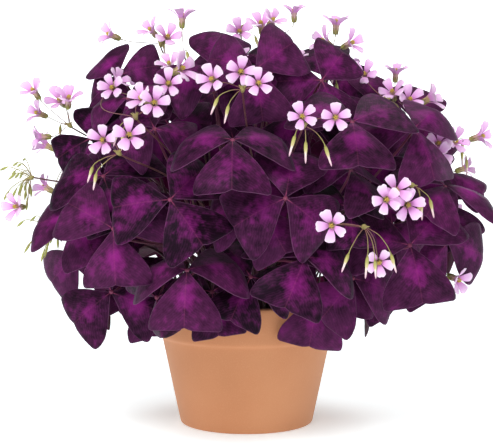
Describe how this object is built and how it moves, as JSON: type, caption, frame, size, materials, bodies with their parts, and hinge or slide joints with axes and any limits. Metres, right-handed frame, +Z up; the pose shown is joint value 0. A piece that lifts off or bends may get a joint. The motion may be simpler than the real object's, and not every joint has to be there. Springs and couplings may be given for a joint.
{
  "type": "potted purple shamrock",
  "caption": "Purple shamrock plant with three-part leaves and small trumpet flowers in a plain terracotta pot; stands on its flat base.",
  "frame": {"origin": "on the pot's axis, at its underside", "axes": "+Z up along the pot's axis; the plant's front faces -Y and its right is +X"},
  "size_m": [0.3424, 0.3311, 0.3049],
  "materials": {
    "terracotta": "matt unglazed",
    "soil": "rough",
    "leaf": "satin",
    "flower": "matt"
  },
  "bodies": {
    "root": {"flower_umbel_01": "flower", "flower_umbel_02": "flower", "flower_umbel_03": "flower", "flower_umbel_04": "flower", "flower_umbel_05": "flower", "flower_umbel_06": "flower", "flower_umbel_07": "flower", "flower_umbel_08": "flower", "flower_umbel_09": "flower", "flower_umbel_10": "flower", "flower_umbel_11": "flower", "flower_umbel_12": "flower", "flower_umbel_13": "flower", "flower_umbel_14": "flower", "flower_umbel_15": "flower", "flower_umbel_16": "flower", "flower_umbel_17": "flower", "flower_umbel_18": "flower", "flower_umbel_19": "flower", "flower_umbel_20": "flower", "flower_umbel_21": "flower", "flower_umbel_22": "flower", "leaf_bunch_01": "leaf", "leaf_bunch_02": "leaf", "leaf_bunch_03": "leaf", "leaf_bunch_04": "leaf", "leaf_bunch_05": "leaf", "leaf_bunch_06": "leaf", "leaf_bunch_07": "leaf", "leaf_bunch_08": "leaf", "leaf_bunch_09": "leaf", "leaf_bunch_10": "leaf", "leaf_bunch_11": "leaf", "leaf_bunch_12": "leaf", "leaf_bunch_13": "leaf", "leaf_bunch_14": "leaf", "leaf_bunch_15": "leaf", "pot": "terracotta", "soil": "soil"}
  },
  "joints": []
}
